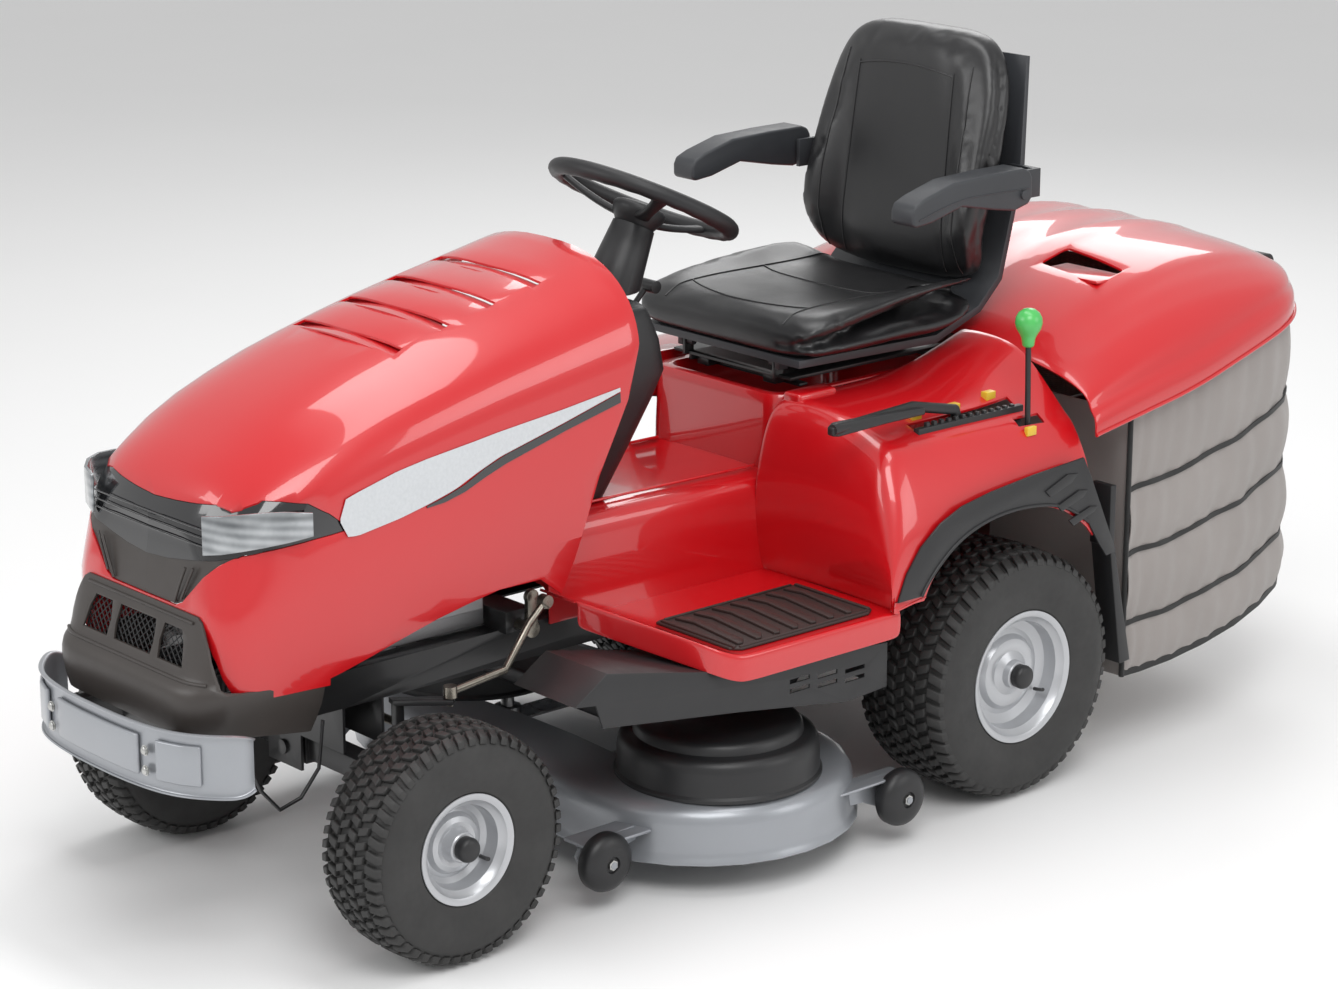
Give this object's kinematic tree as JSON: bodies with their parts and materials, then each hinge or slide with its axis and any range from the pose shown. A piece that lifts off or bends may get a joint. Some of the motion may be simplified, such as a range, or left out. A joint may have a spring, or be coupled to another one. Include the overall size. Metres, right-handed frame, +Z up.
{
  "type": "riding lawn mower",
  "caption": "Ride-on lawn mower with tilting bonnet, steered front wheels, sprung seat, lifting cutter deck and a rear grass collector that tips.",
  "frame": {"origin": "on the ground, midway along the length and on the centre plane", "axes": "+Z up, -Y forward, +X the machine's left"},
  "size_m": [1.055, 2.41, 1.27],
  "materials": {
    "chassis_black": "satin black paint",
    "red_panel": "glossy red",
    "red_body": "glossy red paint",
    "bumper_silver": "satin silver paint",
    "bolt_steel": "zinc plated",
    "black_plastic": "fine textured black",
    "fairing_grey": "dark warm grey, lightly textured",
    "lamp_band": "glossy black with clear lamp ends",
    "engine_metal": "cast",
    "cast_metal": "cast",
    "exhaust": "heat stained",
    "tyre_rubber": "black rubber with block tread",
    "wheel_silver": "silver paint",
    "shaft_steel": "turned",
    "link_steel": "plated rod",
    "deck_silver": "silver grey paint",
    "mat_rubber": "ribbed rubber",
    "seat_vinyl": "satin black vinyl",
    "seat_plastic": "moulded black",
    "armrest_plastic": "dark grey moulded",
    "soft_grip": "soft black grip",
    "blade_steel": "ground edge",
    "bag_mesh": "taupe grey mesh cloth with black bands",
    "tube_black": "black paint"
  },
  "bodies": {
    "chassis": {"chassis_frame": "chassis_black", "front_bumper": "bumper_silver", "bumper_bolts": "bolt_steel", "frame_wire_loop": "chassis_black", "side_covers": "black_plastic", "engine_block": "engine_metal", "engine_shroud": "black_plastic", "muffler": "exhaust", "transaxle": "cast_metal", "discharge_chute": "black_plastic", "fender_body": "red_body", "footrest_mats": "mat_rubber", "wheel_arch_trims": "black_plastic", "rear_posts": "black_plastic", "dash_panel": "black_plastic", "column_cover": "black_plastic", "seat_rails": "chassis_black"},
    "hood": {"hood_shell": "red_panel", "light_band": "lamp_band", "hood_grille_panel": "fairing_grey", "front_fairing": "fairing_grey"},
    "front_axle": {"front_axle_beam": "chassis_black"},
    "knuckle_left": {"knuckle_left": "chassis_black"},
    "knuckle_right": {"knuckle_right": "chassis_black"},
    "tie_rod": {"tie_rod": "link_steel"},
    "drag_link": {"drag_link": "link_steel"},
    "pitman": {"pitman_arm": "chassis_black"},
    "front_wheel_left": {"front_tyre_left": "tyre_rubber", "front_rim_left": "wheel_silver"},
    "front_wheel_right": {"front_tyre_right": "tyre_rubber", "front_rim_right": "wheel_silver"},
    "rear_wheel_left": {"rear_tyre_left": "tyre_rubber", "rear_rim_left": "wheel_silver", "half_shaft_left": "shaft_steel"},
    "rear_wheel_right": {"rear_tyre_right": "tyre_rubber", "rear_rim_right": "wheel_silver", "half_shaft_right": "shaft_steel"},
    "steering": {"steering_wheel": "soft_grip", "steering_shaft": "shaft_steel"},
    "seat_slide": {"seat_slide_plate": "chassis_black"},
    "seat": {"seat_shell": "seat_plastic", "seat_cushion": "seat_vinyl", "seat_back": "seat_vinyl"},
    "armrest_left": {"armrest_left": "armrest_plastic"},
    "armrest_right": {"armrest_right": "armrest_plastic"},
    "height_lever": {"height_lever": "tube_black"},
    "mulch_lever": {"mulch_lever": "tube_black"},
    "choke": {"choke_knob": "black_plastic"},
    "pedal": {"drive_pedal": "black_plastic"},
    "deck": {"deck_shell": "deck_silver", "belt_covers": "black_plastic"},
    "blade_left": {"blade_left": "blade_steel"},
    "blade_right": {"blade_right": "blade_steel"},
    "bag": {"bag_cover": "red_panel", "bag_fabric": "bag_mesh", "bag_frame": "tube_black"},
    "scalp_front_left": {"scalp_wheel_front_left": "black_plastic"},
    "scalp_front_right": {"scalp_wheel_front_right": "black_plastic"},
    "scalp_rear_left": {"scalp_wheel_rear_left": "black_plastic"},
    "scalp_rear_right": {"scalp_wheel_rear_right": "black_plastic"}
  },
  "joints": [
    {"name": "front_axle_pivot", "type": "hinge", "parent": "chassis", "child": "front_axle", "pos_m": [0, -0.817, 0.25], "axis": [0, 1, 0], "range_deg": [-3, 3]},
    {"name": "steer_left", "type": "hinge", "parent": "front_axle", "child": "knuckle_left", "pos_m": [0.25, -0.817, 0.25], "axis": [0, 0, 1], "range_deg": [-24, 24]},
    {"name": "steer_right", "type": "hinge", "parent": "front_axle", "child": "knuckle_right", "pos_m": [-0.25, -0.817, 0.25], "axis": [0, 0, 1], "range_deg": [-24, 24]},
    {"name": "tie_rod_pivot", "type": "hinge", "parent": "knuckle_left", "child": "tie_rod", "pos_m": [0.25, -0.727, 0.3], "axis": [0, 0, 1], "range_deg": [-24, 24]},
    {"name": "drag_link_pivot", "type": "hinge", "parent": "knuckle_left", "child": "drag_link", "pos_m": [0.305, -0.757, 0.39], "axis": [0, 0, 1], "range_deg": [-30.5, 30.5]},
    {"name": "pitman_turn", "type": "hinge", "parent": "chassis", "child": "pitman", "pos_m": [0.21, -0.52, 0.425], "axis": [1, 0, 0], "range_deg": [-32.5, 32.5]},
    {"name": "steering_turn", "type": "hinge", "parent": "chassis", "child": "steering", "pos_m": [0, -0.1, 1.035], "axis": [0, 0.454, 0.891], "range_deg": [-121, 121]},
    {"name": "front_left_spin", "type": "hinge", "parent": "knuckle_left", "child": "front_wheel_left", "pos_m": [0.359, -0.817, 0.189], "axis": [1, 0, 0], "continuous": true},
    {"name": "front_right_spin", "type": "hinge", "parent": "knuckle_right", "child": "front_wheel_right", "pos_m": [-0.359, -0.817, 0.189], "axis": [1, 0, 0], "continuous": true},
    {"name": "rear_left_spin", "type": "hinge", "parent": "chassis", "child": "rear_wheel_left", "pos_m": [0.393, 0.337, 0.22], "axis": [1, 0, 0], "continuous": true},
    {"name": "rear_right_spin", "type": "hinge", "parent": "chassis", "child": "rear_wheel_right", "pos_m": [-0.393, 0.337, 0.22], "axis": [1, 0, 0], "continuous": true},
    {"name": "hood_tilt", "type": "hinge", "parent": "chassis", "child": "hood", "pos_m": [0, -1.14, 0.425], "axis": [1, 0, 0], "range_deg": [0, 65]},
    {"name": "seat_adjust", "type": "slide", "parent": "chassis", "child": "seat_slide", "axis": [0, 1, 0], "range_m": [-0.06, 0.03]},
    {"name": "seat_tilt", "type": "hinge", "parent": "seat_slide", "child": "seat", "pos_m": [0, 0.102, 0.742], "axis": [1, 0, 0], "range_deg": [0, 45]},
    {"name": "armrest_left_fold", "type": "hinge", "parent": "seat", "child": "armrest_left", "pos_m": [0.277, 0.5, 1.01], "axis": [-1, 0, 0], "range_deg": [0, 90]},
    {"name": "armrest_right_fold", "type": "hinge", "parent": "seat", "child": "armrest_right", "pos_m": [-0.277, 0.5, 1.01], "axis": [-1, 0, 0], "range_deg": [0, 90]},
    {"name": "deck_lift", "type": "slide", "parent": "chassis", "child": "deck", "axis": [0, 0, 1], "range_m": [0, 0.04]},
    {"name": "height_lever_swing", "type": "hinge", "parent": "chassis", "child": "height_lever", "pos_m": [0.392, 0.3, 0.56], "axis": [-1, 0, 0], "range_deg": [0, 40.2]},
    {"name": "mulch_lever_swing", "type": "hinge", "parent": "chassis", "child": "mulch_lever", "pos_m": [0.429, 0.392, 0.6], "axis": [1, 0, 0], "range_deg": [-15, 15]},
    {"name": "choke_pull", "type": "slide", "parent": "chassis", "child": "choke", "axis": [0, 0.7071, 0.7071], "range_m": [0, 0.02]},
    {"name": "pedal_press", "type": "hinge", "parent": "chassis", "child": "pedal", "pos_m": [-0.24, -0.3, 0.425], "axis": [1, 0, 0], "range_deg": [0, 8], "stiffness_Nm_per_rad": 20, "springref_deg": -5.73},
    {"name": "blade_left_spin", "type": "hinge", "parent": "deck", "child": "blade_left", "pos_m": [0.25, -0.205, 0.08], "axis": [0, 0, 1], "continuous": true},
    {"name": "blade_right_spin", "type": "hinge", "parent": "deck", "child": "blade_right", "pos_m": [-0.25, -0.205, 0.08], "axis": [0, 0, 1], "continuous": true},
    {"name": "bag_tilt", "type": "hinge", "parent": "chassis", "child": "bag", "pos_m": [0, 0.59, 0.745], "axis": [1, 0, 0], "range_deg": [0, 45]},
    {"name": "scalp_front_left_spin", "type": "hinge", "parent": "deck", "child": "scalp_front_left", "pos_m": [0.395, -0.522, 0.082], "axis": [1, 0, 0], "continuous": true},
    {"name": "scalp_front_right_spin", "type": "hinge", "parent": "deck", "child": "scalp_front_right", "pos_m": [-0.395, -0.522, 0.082], "axis": [1, 0, 0], "continuous": true},
    {"name": "scalp_rear_left_spin", "type": "hinge", "parent": "deck", "child": "scalp_rear_left", "pos_m": [0.5, 0.032, 0.082], "axis": [1, 0, 0], "continuous": true},
    {"name": "scalp_rear_right_spin", "type": "hinge", "parent": "deck", "child": "scalp_rear_right", "pos_m": [-0.5, 0.032, 0.082], "axis": [1, 0, 0], "continuous": true}
  ],
  "couplings": [
    {"joint": "steer_right", "follows": "steer_left", "ratio": 1},
    {"joint": "tie_rod_pivot", "follows": "steer_left", "ratio": -1},
    {"joint": "drag_link_pivot", "follows": "steer_left", "ratio": -1.253},
    {"joint": "pitman_turn", "follows": "steer_left", "ratio": -1.335},
    {"joint": "steering_turn", "follows": "steer_left", "ratio": 5},
    {"joint": "height_lever_swing", "follows": "deck_lift", "rad_per_m": 17.5},
    {"joint": "blade_right_spin", "follows": "blade_left_spin", "ratio": -1}
  ]
}
